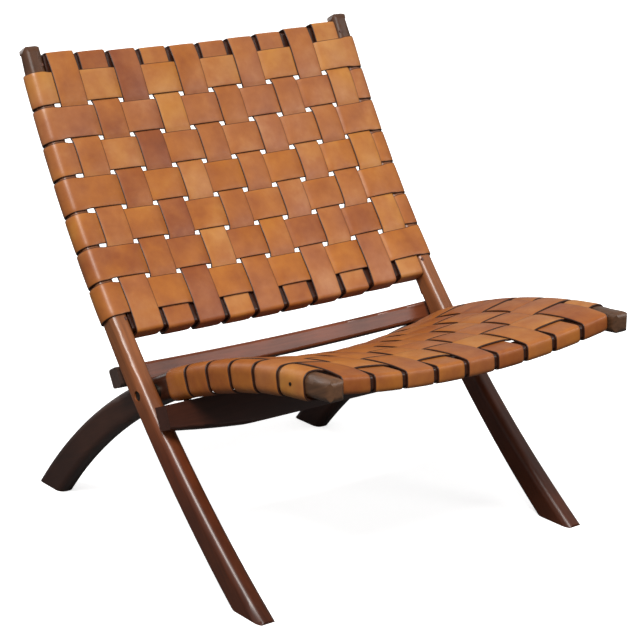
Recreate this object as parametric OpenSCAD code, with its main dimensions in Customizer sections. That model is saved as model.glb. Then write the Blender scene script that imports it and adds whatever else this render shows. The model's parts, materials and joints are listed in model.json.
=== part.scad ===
// Folding lounge chair: two curved frames that cross on one pivot line, with a plain weave
// of leather straps on the back and on the seat.
// The X axis runs across the chair, the sitter faces -Y, and Z points up from the floor.
// Back pieces are placed by s, the distance up the front face of a stile, and by n, the depth
// behind that face.  Seat pieces are placed by a, the angle round the seat arc, and by h, the
// height above that arc.

/* [Overall] */
// Width over the outer faces of the two stiles
frame_w = 620; // [560:1:700]
// Radius of the rounded long edges of the frame pieces
edge_r = 11; // [4:0.5:12]

/* [Stiles] */
// Width of a stile across the chair
stile_w = 30; // [26:1:38]
// Length of a stile along its curved front face
stile_len = 967; // [945:1:1050]
// Radius of the curved front face of a stile
stile_radius = 1900; // [1600:10:2600]
// Lean of the stile from upright where it meets the floor
foot_lean = 54.5; // [50:0.1:58]
// Depth of the stile at the floor
foot_depth = 51; // [44:0.5:60]
// Depth of the stile at its top
top_depth = 27; // [25:0.5:34]
// How much of the thin front tip of a foot is cut off square
toe_cut = 5; // [4:0.5:14]
// Rounding of the bare top ends of the stiles
knob_r = 11.5; // [5:0.5:11.5]

/* [Back rails] */
// Distance up the stile to the middle of the top rail
top_rail_s = 934; // [915:1:940]
// Height of the top rail
top_rail_h = 34; // [28:1:40]
// Thickness of the top rail
top_rail_t = 18; // [14:1:19]
// Distance up the stile to the middle of the lower back rail
low_rail_s = 518.5; // [505:0.5:525]
// Height of the lower back rail
low_rail_h = 37; // [34:1:48]
// Thickness of the lower back rail
low_rail_t = 24; // [18:1:28]
// Set-back of both rails behind the front face of the stiles
rail_inset = 4; // [3.8:0.1:6]
// How far the middle of a back rail curves away from the sitter
back_bow_n = 7; // [3:0.5:12]
// How far the middle of a back rail dips
back_bow_s = 9; // [4:0.5:14]

/* [Seat arcs] */
// Width of an arched side piece across the chair
side_w = 28; // [24:1:36]
// Side gap between a stile and the arched side piece inside it
side_gap = 4; // [3.8:0.1:6]
// Radius of the upper edge of the arched side piece
arc_radius = 1110; // [1060:1:1150]
// Depth of the side piece at its foot
heel_depth = 55; // [46:0.5:58]
// Depth of the side piece at its front end
nose_depth = 32; // [30:0.5:44]
// Angle round the arc of the front end of the side piece
nose_a = 2.35; // [1.8:0.05:2.5]
// Rounding of the front end of the side piece, seen from the side
nose_r = 10; // [4:0.5:12]
// Rounding of the front end of the side piece, seen from above
nose_plan_r = 11; // [6:0.5:12]

/* [Seat rails] */
// Angle round the arc of the middle of the front seat rail
front_rail_a = 4.1; // [4:0.05:4.3]
// Angle round the arc of the middle of the rear seat rail
rear_rail_a = 23.8; // [23.6:0.05:23.9]
// Width of the front seat rail from front to rear
front_rail_t = 35; // [30:1:36]
// Width of the rear seat rail from front to rear
rear_rail_t = 28; // [24:1:30]
// Height of both seat rails
seat_rail_h = 21; // [19:0.5:30]
// How far the middle of the seat sags below its sides
seat_sag = 20; // [16:1:30]

/* [Stop bars] */
// Height of the rear stop bar
rear_bar_h = 30; // [26:1:34]
// Thickness of the rear stop bar
rear_bar_t = 25; // [20:1:30]
// How far the rear stop bar bows down in the middle
rear_bar_bow = 5.5; // [3:0.5:10]
// Height of the front stop bar where it meets the stiles
front_bar_h = 40; // [36:1:44]
// Height of the front stop bar in its straight middle
front_bar_mid_h = 54; // [50:1:60]
// Thickness of the front stop bar
front_bar_t = 31; // [26:1:34]
// How far the curved lower edge of the front stop bar would bow down in the middle
front_bar_bow = 27; // [24:1:30]

/* [Pivot] */
// Distance up the stile to the pivot
pivot_s = 401; // [395:1:407]
// Depth of the pivot behind the front face of the stile
pivot_inset = 17; // [15:0.5:21]
// Angle round the seat arc of the pivot
pivot_a = 25.4; // [25.3:0.05:25.5]
// Depth of the pivot below the upper edge of the side piece
pivot_drop = 23.5; // [21:0.5:26]
// Radius of the pivot bolt
bolt_r = 4; // [3:0.5:5]
// Radius of the head of the pivot bolt
bolt_head_r = 7; // [6:0.5:8]
// Thickness of the head of the pivot bolt
bolt_head_t = 4; // [3:0.5:5]
// Radius of the spacer washer on the pivot bolt
spacer_r = 12; // [10:0.5:14]
// Width across the flats of the pivot nut
nut_flats = 13; // [12:0.5:14]
// Thickness of the pivot nut
nut_t = 6; // [5:0.5:7]
// Running clearance round the pivot bolt
bolt_clear = 0.08; // [0.04:0.01:0.1]
// Clearance between faces that turn against each other
face_clear = 0.2; // [0.1:0.05:0.4]
// Depth of the recess outside a bolt head and inside a nut
recess = 2; // [1:0.5:3]
// Width of the recess round a bolt head and round a nut
spanner_room = 1; // [0.5:0.25:2]

/* [Straps] */
// Thickness of the leather
strap_t = 3; // [2:0.1:3.2]
// Width of the straps that run up the back and of those from front to rear of the seat
column_w = 48; // [42:1:50]
// Gap between the left stile and the first strap up the back
left_gap = 4.7; // [3:0.1:6]
// Gap between the right stile and the last strap up the back
right_gap = 0.5; // [0.3:0.1:2]
// Width of the straps across the back
row_w = 51; // [46:1:53]
// Spacing of the straps across the back
row_pitch = 57.3; // [56:0.1:58]
// Width of the straps across the seat
seat_row_w = 53; // [48:1:54]
// Spacing of the straps across the seat
seat_row_pitch = 59.4; // [58:0.1:60]
// How far the lowest strap across the back laps over the lower back rail
rail_lap = 12; // [8:1:16]
// Gap between the front seat rail and the first strap across the seat
first_row_gap = 2.7; // [1.5:0.1:4]
// Clearance between leather and what it lies on
lay = 0.2; // [0.1:0.05:0.4]

/* [Tacks] */
// Radius of the head of a strap tack
tack_head_r = 2.5; // [2:0.25:3.5]
// Thickness of the head of a strap tack
tack_head_t = 1; // [0.6:0.1:1.5]
// Radius of the shank of a strap tack
tack_r = 0.9; // [0.7:0.1:1.2]
// Length of the shank of a strap tack
tack_l = 13; // [10:1:15]
// Distance of a tack from the cut end of its strap
tack_set = 9; // [6:1:12]

/* [Joinery] */
// Length of the tenons on the rail ends
tenon_l = 15; // [10:1:18]
// Thickness of wood left round a tenon
shoulder = 5; // [4:0.5:7]
// Radius of the pegs that pin the back rail tenons
peg_r = 3; // [2:0.5:4]
// Radius of the dowels that hold the stop bars
dowel_r = 4; // [3:0.5:5]
// Depth that a dowel reaches into each piece
dowel_depth = 20; // [14:1:22]

/* [Hidden] */
back_columns = 10;
back_rows = 7;
seat_columns = 9;
seat_rows = 6;
DEG = 180 / PI;
ARC_FN = 720;
ROUND_FN = 48;
// Length of a cutter that has to pass right through a piece, and of one that has to pass
// the whole chair.
REACH = 120;
FAR = 1500;
// How far a corner cut reaches outside the corner, and how far the rounding of a stile's top
// bites into its faces, so that the two meet in a clear line.
WASTE = 5;
knob_bite = 0.8;
// How far, in degrees, an arc is turned past the ends it is then cut to.
SPARE_A = 3;

// Curve of the stiles.  The rear face is an arc about a shifted centre, so the stile tapers.
top_lean = foot_lean - stile_len / stile_radius * DEG;
mid_lean = (foot_lean + top_lean) / 2;
taper = (foot_depth - top_depth) / 2 / sin((foot_lean - top_lean) / 2);
rear_radius = stile_radius + (foot_depth + top_depth) / 2;

// Places counted from the tips of the front feet, before the chair is centred on the origin.
function ray(lean) = [cos(lean), -sin(lean)];
function lean_at(s) = foot_lean - s / stile_radius * DEG;
tip_centre = -stile_radius * ray(foot_lean);
tip_pivot = tip_centre + (stile_radius + pivot_inset) * ray(lean_at(pivot_s));
function out(a) = [sin(a), cos(a)];
tip_seat = tip_pivot - (arc_radius - pivot_drop) * out(pivot_a);
heel_a = acos(-tip_seat[1] / arc_radius);
heel_y = tip_seat[0] + arc_radius * sin(heel_a);
nose_y = tip_seat[0] + (arc_radius - nose_depth / 2) * sin(nose_a);
shift = [-(heel_y + nose_y) / 2, 0];

// Centres of the arcs, in the Y and Z of the finished chair.
stile_centre = tip_centre + shift;
rear_centre = stile_centre + taper * [-sin(mid_lean), -cos(mid_lean)];
pivot = tip_pivot + shift;
seat_centre = tip_seat + shift;
// The lower edge of the side piece is an arc about a shifted centre, so the piece tapers too.
side_mid_a = (heel_a + nose_a) / 2;
side_taper = (heel_depth - nose_depth) / 2 / sin((heel_a - nose_a) / 2);
under_centre = seat_centre + side_taper * [-cos(side_mid_a), sin(side_mid_a)];
under_radius = arc_radius - (heel_depth + nose_depth) / 2;

// Points of the two curved frames.
function stile_point(s, n) = stile_centre + (stile_radius + n) * ray(lean_at(s));
function seat_point(a, h) = seat_centre + (arc_radius + h) * out(a);
function along_ray(centre, radius, from, dir) =
    let (e = centre - from, d = e * dir) d + sqrt(radius * radius - e * e + d * d);
function stile_depth(s) =
    along_ray(rear_centre, rear_radius, stile_centre, ray(lean_at(s))) - stile_radius;
function side_depth(a) =
    arc_radius - along_ray(under_centre, under_radius, seat_centre, out(a));

// Across the chair.
half_w = frame_w / 2;
inner_x = half_w - stile_w;
side_x1 = inner_x - side_gap;
side_x0 = side_x1 - side_w;
column_pitch = (2 * inner_x - left_gap - right_gap - column_w) / (back_columns - 1);
seat_pitch = 2 * side_x0 / seat_columns;
bolt_head_x = half_w - bolt_head_t - recess;
nut_x = side_x0 + recess;
function column_x(i) = -inner_x + left_gap + column_w / 2 + (i - 1) * column_pitch;
function seat_x(i) = (i - (seat_columns + 1) / 2) * seat_pitch;
function bow(x, half) = 1 - pow(min(abs(x), half) / half, 2);
function bow_radius(half, sag) = half * half / (2 * sag) + sag / 2;
sag_radius = bow_radius(side_x0, seat_sag);

// Weave levels: a strap on top lies half a strap and half a clearance above the middle.
level = (strap_t + 2 * lay) / 2;
over_side = strap_t / 2 + lay;
function side_of(i, j) = (i + j) % 2 == 0 ? 1 : -1;
weave_n = level - over_side;
rows_top_s = low_rail_s + low_rail_h / 2 - rail_lap + back_rows * row_pitch;
function row_s(j) = rows_top_s - (j - 0.5) * row_pitch;
first_row_a = front_rail_a + (front_rail_t / 2 + first_row_gap) / arc_radius * DEG;
function row_a(j) = first_row_a + (j - 0.5) * seat_row_pitch / arc_radius * DEG;
seat_rail_top = -2 * level - lay;

// Depth that a seat row wraps to: the side piece's depth at the strap's rear edge, and what
// the hollow lower edge of the side piece gains over half the width of the strap.
function seat_row_depth(j) = side_depth(row_a(j) + seat_row_w / 2 / arc_radius * DEG)
    + pow(seat_row_w / 2, 2) / 2 / under_radius;

// Stop bars: each is square to the seat arc and touches the stiles with one long edge.
// The contact angle is found where the bar's touching edge meets the face of the stile,
// between bar_from and rear_bar_to or front_bar_to degrees round the seat arc.
function gap_behind(a) = norm(seat_point(a, rear_bar_h) - rear_centre) - rear_radius;
function gap_before(a, h) = stile_radius - norm(seat_point(a, h) - stile_centre);
function settle(a0, a1, k, rear) = k == 0 ? (a0 + a1) / 2 :
    let (m = (a0 + a1) / 2,
         g = rear ? gap_behind(m) : -gap_before(m, front_bar_low))
    g > 0 ? settle(a0, m, k - 1, rear) : settle(m, a1, k - 1, rear);
STEPS = 40;
bar_from = 12;
front_bar_to = 30;
rear_bar_to = 36;
bar_clear = 0.3;
front_bar_top = -seat_row_depth(seat_rows) - strap_t - tack_head_t - 2 * lay;
front_bar_low = front_bar_top - front_bar_h;
rear_bar_a = settle(front_bar_to - bar_from, rear_bar_to, STEPS, true)
    + (rear_bar_t / 2 + bar_clear) / arc_radius * DEG;
front_bar_a = settle(bar_from, front_bar_to, STEPS, false)
    - (front_bar_t / 2 + bar_clear) / (arc_radius + front_bar_low) * DEG;
bar_half = half_w;
// The front dowels stand behind the middle of their bar, clear of the tacks of the last row.
front_dowel_back = 4;
front_dowel_a = front_bar_a + front_dowel_back / arc_radius * DEG;
side_mid_x = (side_x0 + side_x1) / 2;
rear_bar_sink = 1.5;

LEATHER = [0.72, 0.42, 0.20];
LEATHER_DARK = [0.62, 0.34, 0.16];
WALNUT = [0.30, 0.17, 0.09];
STEEL = [0.35, 0.33, 0.30];

// ---- Shared shapes -------------------------------------------------------------------

// What is taken off a square corner at the origin to round it to radius r.
module corner_waste(r) {
    difference() {
        translate([-WASTE, -WASTE]) square(r + WASTE);
        translate([r, r]) circle(r = r, $fn = ROUND_FN);
    }
}

// A rectangle from the origin with all four corners rounded.
module rounded_rect(w, h, r) {
    difference() {
        square([w, h]);
        corner_waste(r);
        translate([w, 0]) mirror([1, 0]) corner_waste(r);
        translate([0, h]) mirror([0, 1]) corner_waste(r);
        translate([w, h]) mirror([1, 0]) mirror([0, 1]) corner_waste(r);
    }
}

// Turns a profile drawn in (radius, X) about an axis along X through a centre in Y and Z.
// The sweep starts at angle from, counted from -Z towards +Y.
module turned(centre, from, sweep) {
    translate([0, centre[0], centre[1]]) rotate([0, 90, 0]) rotate([0, 0, from])
        rotate_extrude(angle = sweep, $fn = ARC_FN) children();
}

// Stands a drawing of Y and Z up in the chair and gives it a width across X.
module upright(x0, w) {
    translate([x0, 0, 0]) rotate([90, 0, 90]) linear_extrude(height = w) children();
}

// The plank between two arcs: outer and inner radius, with rounded edges at one of them.
module inner_edge_plank(r, w) {
    difference() {
        translate([r, 0]) square([REACH, w]);
        translate([r, 0]) corner_waste(edge_r);
        translate([r, w]) mirror([0, 1]) corner_waste(edge_r);
    }
}

module outer_edge_plank(r, w) {
    difference() {
        translate([r - REACH, 0]) square([REACH, w]);
        translate([r, 0]) mirror([1, 0]) corner_waste(edge_r);
        translate([r, w]) mirror([1, 0]) mirror([0, 1]) corner_waste(edge_r);
    }
}

// A rail that bows by sag along a direction leaning tilt from straight down.
// Its section is the child, centred on the origin, with x along the bow and y to the front.
module bowed(centre, half, sag, tilt) {
    r = bow_radius(half, sag);
    sweep = 2 * asin(half / r) + SPARE_A;
    intersection() {
        translate([0, centre[0], centre[1]]) rotate([tilt, 0, 0])
            translate([0, 0, r - sag]) rotate([0, 90, -90]) rotate([0, 0, -sweep / 2])
            rotate_extrude(angle = sweep, $fn = ARC_FN) translate([r, 0]) children();
        translate([-half, -FAR, -FAR]) cube([2 * half, 2 * FAR, 2 * FAR]);
    }
}

// A block turned into the lean of the stile at s: sizes across, up the stile and in depth.
module stile_block(x0, x1, s, n, up, deep) {
    p = stile_point(s, n);
    translate([(x0 + x1) / 2, p[0], p[1]]) rotate([-lean_at(s), 0, 0])
        cube([x1 - x0, deep, up], center = true);
}

// A block turned to the seat arc at a: sizes across, along the arc and in height.
module seat_block(x0, x1, a, h, along, high) {
    p = seat_point(a, h);
    translate([(x0 + x1) / 2, p[0], p[1]]) rotate([-a, 0, 0])
        cube([x1 - x0, along, high], center = true);
}

module both_sides() {
    children();
    mirror([1, 0, 0]) children();
}

// A ribbon of thickness t along the points of its middle line, as a closed outline.
function unit(v) = v / norm(v);
function turn_left(v) = [-v[1], v[0]];
function normal_at(p, k) =
    let (last = len(p) - 1,
         a = turn_left(unit(p[min(k + 1, last)] - p[min(k, last - 1)])),
         b = turn_left(unit(p[max(k, 1)] - p[max(k - 1, 0)])))
    (a + b) / (1 + a * b);
function ribbon(p, t) = concat(
    [for (k = [0 : len(p) - 1]) p[k] + normal_at(p, k) * t / 2],
    [for (k = [len(p) - 1 : -1 : 0]) p[k] - normal_at(p, k) * t / 2]);

// A tack driven down -Z, with the underside of its head at the origin.
module tack_shank() {
    translate([0, 0, -tack_l]) cylinder(r = tack_r, h = tack_l, $fn = ROUND_FN);
}

module tack() {
    union() {
        cylinder(r = tack_head_r, h = tack_head_t, $fn = ROUND_FN);
        tack_shank();
    }
}

// Where the straps end: round a rail they stop end_trim short of its full height, and round
// a post they stop strap_back short of its inner face.
end_trim = 6;
strap_back = 5;
// How far a strap cuts the corners of what it wraps.
wrap_cut = 4;

// ---- Back frame ----------------------------------------------------------------------

// One stile: curved, tapered, with rounded edges, a flat foot and a rounded bare top.
module stile_body() {
    top = stile_point(stile_len, 0);
    intersection() {
        translate([inner_x, 0, 0])
            turned(stile_centre, 90 - foot_lean - SPARE_A, foot_lean - top_lean + 2 * SPARE_A)
            inner_edge_plank(stile_radius, stile_w);
        translate([inner_x, 0, 0])
            turned(rear_centre, 90 - foot_lean - SPARE_A, foot_lean - top_lean + 2 * SPARE_A)
            outer_edge_plank(rear_radius, stile_w);
        translate([0, stile_point(0, 0)[0] + toe_cut, 0]) cube(FAR);
        // The top end, seen from the side.
        upright(0, FAR) translate(top) rotate(-top_lean) difference() {
            translate([-FAR, -FAR]) square([2 * FAR, FAR]);
            translate([knob_bite, 0]) mirror([0, 1]) corner_waste(knob_r);
            translate([top_depth - knob_bite, 0]) mirror([1, 0]) mirror([0, 1])
                corner_waste(knob_r);
        }
        // The top end, seen from the front.
        translate([inner_x, top[0], top[1]]) rotate([90 - top_lean, 0, 0])
            translate([0, 0, -FAR]) linear_extrude(height = 2 * FAR) difference() {
            translate([0, -FAR]) square([stile_w, FAR]);
            mirror([0, 1]) corner_waste(knob_r);
            translate([stile_w, 0]) mirror([1, 0]) mirror([0, 1]) corner_waste(knob_r);
        }
    }
}

module rail_tenon(s, h, t) {
    stile_block(inner_x - shoulder, inner_x + tenon_l, s, rail_inset + t / 2,
                h - 2 * shoulder, t - 2 * shoulder);
}

module back_peg(s) {
    p = stile_point(s, 0);
    translate([inner_x + tenon_l / 2, p[0], p[1]]) rotate([-90 - lean_at(s), 0, 0])
        translate([0, 0, 0.2]) cylinder(r = peg_r, h = rail_inset + shoulder + 6, $fn = ROUND_FN);
}

module stile() {
    color(WALNUT) difference() {
        stile_body();
        rail_tenon(top_rail_s, top_rail_h, top_rail_t);
        rail_tenon(low_rail_s, low_rail_h, low_rail_t);
        back_peg(top_rail_s);
        back_peg(low_rail_s);
        for (j = [1 : back_rows]) row_tacks(j) tack_shank();
        on_pivot(side_x1) cylinder(r = bolt_r + bolt_clear, h = REACH, $fn = ROUND_FN);
        on_pivot(bolt_head_x) cylinder(r = bolt_head_r + spanner_room, h = REACH, $fn = ROUND_FN);
    }
}

// A back rail: its section leans with the stile and the whole rail bows down and back.
module back_rail(s, h, t) {
    lean = lean_at(s);
    skew = atan2(back_bow_n, back_bow_s);
    color(WALNUT) difference() {
        union() {
            bowed(stile_point(s, rail_inset + t / 2), inner_x,
                  norm([back_bow_n, back_bow_s]), skew - lean)
                rotate(skew) translate([-h / 2, -t / 2]) rounded_rect(h, t, shoulder);
            both_sides() rail_tenon(s, h, t);
        }
        both_sides() back_peg(s);
        for (i = [1 : back_columns]) column_tacks(i) tack_shank();
    }
}

module back_pegs() {
    color(WALNUT) both_sides() {
        back_peg(top_rail_s);
        back_peg(low_rail_s);
    }
}

// A rail bows, so a flat strap lies on it at the outer edge of the strap in front and at
// the inner edge behind.
function least_bow(x) = bow(abs(x) + column_w / 2, inner_x);
function most_bow(x) = bow(max(abs(x) - column_w / 2, 0), inner_x);

// A point beside a rail: u up from its middle and n behind the face of the stiles.
function rail_point(s, u, n) = stile_point(s, 0) + u * out(lean_at(s)) + n * ray(lean_at(s));

// Points of a strap's middle line round one end rail, seen from the side: along its front,
// round its far edge, and back along its rear face.  dir is 1 over a top rail and -1 under a
// lower rail, and the strap cuts each corner by wrap_cut.
function rail_wrap(s, h, t, x, dir) =
    let (n0 = rail_inset + back_bow_n * least_bow(x) - over_side,
         n1 = rail_inset + t + back_bow_n * most_bow(x) + over_side,
         dip = back_bow_s * (dir > 0 ? least_bow(x) : most_bow(x)),
         edge = dir * (h / 2 + over_side) - dip,
         c = wrap_cut)
    [rail_point(s, edge - dir * c, n0),
     rail_point(s, edge - dir * c * 0.3, n0 + c * 0.3),
     rail_point(s, edge, n0 + c),
     rail_point(s, edge, n1 - c),
     rail_point(s, edge - dir * c * 0.3, n1 - c * 0.3),
     rail_point(s, edge - dir * c, n1),
     rail_point(s, edge - dir * (h - end_trim), n1)];

// Places the children at the two tacks of column i, pointing out of the strap.
module rail_tack(s, h, t, i, dir) {
    line = rail_wrap(s, h, t, column_x(i), dir);
    last = len(line) - 1;
    run = unit(line[last - 1] - line[last]);
    p = line[last] + run * tack_set + dir * turn_left(run) * -strap_t / 2;
    translate([column_x(i), p[0], p[1]]) rotate([-90 - atan2(run[0], run[1]) - (dir < 0 ? 180 : 0), 0, 0])
        children();
}

module column_tacks(i) {
    rail_tack(top_rail_s, top_rail_h, top_rail_t, i, 1) children();
    rail_tack(low_rail_s, low_rail_h, low_rail_t, i, -1) children();
}

function reversed(p) = [for (k = [len(p) - 1 : -1 : 0]) p[k]];

// Where column i lies as it passes row j: over the row on the sitter's side, or under it.
function column_mid(i) = weave_n + back_bow_n * least_bow(column_x(i));
function column_n(i, j) = column_mid(i) - side_of(i, j) * level;
function column_cross(i, j) =
    let (s = row_s(j), p = stile_point(s, column_n(i, j)), up = out(lean_at(s)))
    [p + up * row_w / 2, p - up * row_w / 2];

function column_line(i) = concat(
    reversed(rail_wrap(top_rail_s, top_rail_h, top_rail_t, column_x(i), 1)),
    [for (j = [1 : back_rows]) for (p = column_cross(i, j)) p],
    rail_wrap(low_rail_s, low_rail_h, low_rail_t, column_x(i), -1));

module back_column(i) {
    color(i % 2 == 0 ? LEATHER : LEATHER_DARK) difference() {
        upright(column_x(i) - column_w / 2, column_w)
            polygon(ribbon(column_line(i), strap_t));
        column_tacks(i) tack_shank();
    }
}

// Half of a strap's middle line round a post, seen along the post: from the rear or under
// face, round the outer face to the front or upper face.  x0 and x1 are the post's faces,
// d is its depth.
// The strap goes round each rounded edge in facets that touch it from outside.
facets = [15, 45, 75];
function post_wrap(x0, x1, d) =
    let (r = (edge_r + over_side) / cos(facets[0]), x = x1 - edge_r)
    concat([[x0 + strap_back, d + over_side]],
           [for (t = reversed(facets)) [x + r * cos(t), d - edge_r + r * sin(t)]],
           [for (t = facets) [x + r * cos(t), edge_r - r * sin(t)]],
           [[x0 + edge_r / 2, -over_side]]);
function flipped(p) = [for (q = p) [-q[0], q[1]]];

// Row j of the back as it passes the columns, in X and n.
function row_line(j, d) =
    let (s = row_s(j))
    concat(
        flipped(post_wrap(inner_x, half_w, d)),
        [for (i = [1 : back_columns]) for (e = [-1, 1])
            [column_x(i) + e * column_w / 2, column_mid(i) + side_of(i, j) * level]],
        reversed(post_wrap(inner_x, half_w, d)));

// Depth that row j wraps to: the stile's depth under the lower edge of the strap.
function row_depth(j) = stile_depth(row_s(j) - row_w / 2);

module row_tacks(j) {
    s = row_s(j);
    p = stile_point(s, row_depth(j) + lay + strap_t);
    both_sides() translate([inner_x + strap_back + tack_set, p[0], p[1]])
        rotate([-90 - lean_at(s), 0, 0]) children();
}

module back_row(j) {
    s = row_s(j);
    p = stile_point(s, 0);
    color(j % 2 == 0 ? LEATHER : LEATHER_DARK) difference() {
        translate([0, p[0], p[1]]) rotate([-lean_at(s), 0, 0])
            translate([0, 0, -row_w / 2]) linear_extrude(height = row_w)
            polygon(ribbon(row_line(j, row_depth(j)), strap_t));
        row_tacks(j) tack_shank();
    }
}

module back_tacks() {
    color(STEEL) {
        for (i = [1 : back_columns]) column_tacks(i) tack();
        for (j = [1 : back_rows]) row_tacks(j) tack();
    }
}

// ---- Pivot ---------------------------------------------------------------------------

module on_pivot(x) {
    translate([x, pivot[0], pivot[1]]) rotate([0, 90, 0]) children();
}

module pivot_bolt() {
    color(STEEL) union() {
        on_pivot(bolt_head_x) cylinder(r = bolt_head_r, h = bolt_head_t, $fn = ROUND_FN);
        on_pivot(nut_x) cylinder(r = bolt_r, h = bolt_head_x - nut_x, $fn = ROUND_FN);
    }
}

module pivot_nut() {
    color(STEEL) on_pivot(nut_x) difference() {
        cylinder(d = nut_flats / cos(30), h = nut_t, $fn = 6);
        translate([0, 0, -1]) cylinder(r = bolt_r, h = nut_t + 2, $fn = ROUND_FN);
    }
}

module spacer() {
    color(STEEL) on_pivot(side_x1 + face_clear) difference() {
        cylinder(r = spacer_r, h = side_gap - face_clear, $fn = ROUND_FN);
        translate([0, 0, -1]) cylinder(r = bolt_r + bolt_clear, h = side_gap + 2, $fn = ROUND_FN);
    }
}

// ---- Seat frame ----------------------------------------------------------------------

// One arched side piece: seat rail and rear leg in a single curve.
module side_body() {
    tip = seat_point(nose_a, 0);
    low = seat_point(nose_a, -side_depth(nose_a));
    intersection() {
        translate([side_x0, 0, 0]) turned(seat_centre, 180 - heel_a - SPARE_A, heel_a + SPARE_A)
            outer_edge_plank(arc_radius, side_w);
        translate([side_x0, 0, 0]) turned(under_centre, 180 - heel_a - SPARE_A, heel_a + SPARE_A)
            inner_edge_plank(under_radius, side_w);
        translate([0, -FAR, 0]) cube([FAR, 2 * FAR, FAR]);
        // The front end, seen from the side.
        upright(0, FAR) difference() {
            translate(tip) rotate(-nose_a) translate([0, -FAR]) square([FAR, 2 * FAR]);
            translate(tip) rotate(-nose_a) mirror([0, 1]) corner_waste(nose_r);
            translate(low) rotate(-nose_a) corner_waste(nose_r);
        }
        // The front end, seen from above.
        translate([0, 0, -FAR]) linear_extrude(height = 2 * FAR) difference() {
            translate([side_x0, low[0]]) square([side_w, FAR]);
            translate([side_x0, low[0]]) corner_waste(nose_plan_r);
            translate([side_x1, low[0]]) mirror([1, 0]) corner_waste(nose_plan_r);
        }
    }
}

module seat_tenon(a, t) {
    seat_block(side_x0 - shoulder, side_x0 + tenon_l, a, seat_rail_top - seat_rail_h / 2,
               t - 2 * shoulder, seat_rail_h - 2 * shoulder);
}

module bar_dowel(a, h) {
    p = seat_point(a, h);
    translate([side_mid_x, p[0], p[1]]) rotate([-a, 0, 0])
        cylinder(r = dowel_r, h = 2 * dowel_depth, center = true, $fn = ROUND_FN);
}

module side_piece() {
    color(WALNUT) difference() {
        side_body();
        seat_tenon(front_rail_a, front_rail_t);
        seat_tenon(rear_rail_a, rear_rail_t);
        rear_bar_body();
        bar_dowel(rear_bar_a, 0);
        bar_dowel(front_dowel_a, front_bar_top);
        for (j = [1 : seat_rows]) seat_row_tacks(j) tack_shank();
        on_pivot(side_x0 - 1) cylinder(r = bolt_r + bolt_clear, h = REACH, $fn = ROUND_FN);
        on_pivot(nut_x - REACH)
            cylinder(r = nut_flats / 2 / cos(30) + spanner_room, h = REACH + nut_t + face_clear,
                     $fn = ROUND_FN);
    }
}

// A seat rail, bowed down in the middle, with a tenon at each end.
module seat_rail(a, t) {
    color(WALNUT) difference() {
        union() {
            bowed(seat_point(a, seat_rail_top - seat_rail_h / 2), side_x0, seat_sag, -a)
                translate([-seat_rail_h / 2, -t / 2]) rounded_rect(seat_rail_h, t, shoulder);
            both_sides() seat_tenon(a, t);
        }
        for (i = [1 : seat_columns]) seat_column_tacks(i) tack_shank();
    }
}

// How far a bar's bow dips at a distance x from its middle.
function bar_dip(sag, x) = sag * bow(x, bar_half);

module rear_bar_body() {
    bowed(seat_point(rear_bar_a, rear_bar_h / 2 - rear_bar_sink + bar_dip(rear_bar_bow, side_mid_x)),
          bar_half, rear_bar_bow, -rear_bar_a)
        translate([-rear_bar_h / 2, -rear_bar_t / 2])
        rounded_rect(rear_bar_h, rear_bar_t, shoulder);
}

module rear_stop_bar() {
    color(WALNUT) difference() {
        rear_bar_body();
        both_sides() bar_dowel(rear_bar_a, 0);
    }
}

// The front bar has a straight top, and its curved lower edge is cut straight in the middle.
module front_stop_bar() {
    above = front_bar_bow + shoulder;
    color(WALNUT) difference() {
        intersection() {
            bowed(seat_point(front_bar_a, front_bar_top + bar_dip(front_bar_bow, inner_x)),
                  bar_half, front_bar_bow, -front_bar_a)
                translate([-above, -front_bar_t / 2])
                rounded_rect(front_bar_h + above, front_bar_t, shoulder);
            seat_block(-bar_half, bar_half, front_bar_a, front_bar_top - front_bar_mid_h / 2,
                       2 * front_bar_t, front_bar_mid_h);
        }
        both_sides() bar_dowel(front_dowel_a, front_bar_top);
    }
}

module stop_bar_dowels() {
    color(WALNUT) both_sides() {
        bar_dowel(rear_bar_a, 0);
        bar_dowel(front_dowel_a, front_bar_top);
    }
}

// Slope of the seat across its width at x, and the height of a flat strap that lies on the
// bowed rails there with both of its edges.
function sag_slope(x) = x / sqrt(sag_radius * sag_radius - x * x);
function sag_h(x) = sag_radius - seat_sag - sqrt(sag_radius * sag_radius - x * x)
    + pow(column_w / 2, 2) / 2 / sag_radius;

// Points of a seat strap's middle line, as [a, along the arc, h].
function seat_cross(i, j) =
    let (h = sag_h(seat_x(i)) + side_of(i, j) * level)
    [[row_a(j), -seat_row_w / 2, h], [row_a(j), seat_row_w / 2, h]];
function seat_wrap(a, rail_t, dir) =
    let (t = rail_t / 2 + strap_t / 2 + 2 * lay,
         h = seat_rail_top + over_side,
         low = seat_rail_top - seat_rail_h - over_side - lay,
         c = wrap_cut + 1)
    [[a, dir * (t - c), h],
     [a, dir * (t - c * 0.3), h - c * 0.3],
     [a, dir * t, h - c],
     [a, dir * t, low + c],
     [a, dir * (t - c * 0.3), low + c * 0.3],
     [a, dir * (t - c), low],
     [a, -dir * (t - end_trim), low]];
function lowered(p, dh) = [for (q = p) [q[0], q[1], q[2] + dh]];
function seat_line(i) = concat(
    reversed(lowered(seat_wrap(front_rail_a, front_rail_t, -1), sag_h(seat_x(i)))),
    [for (j = [1 : seat_rows]) for (p = seat_cross(i, j)) p],
    lowered(seat_wrap(rear_rail_a, rear_rail_t, 1), sag_h(seat_x(i))));
function seat_yz(q) =
    seat_centre + (arc_radius + q[2]) * out(q[0]) + q[1] * [cos(q[0]), -sin(q[0])];

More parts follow.
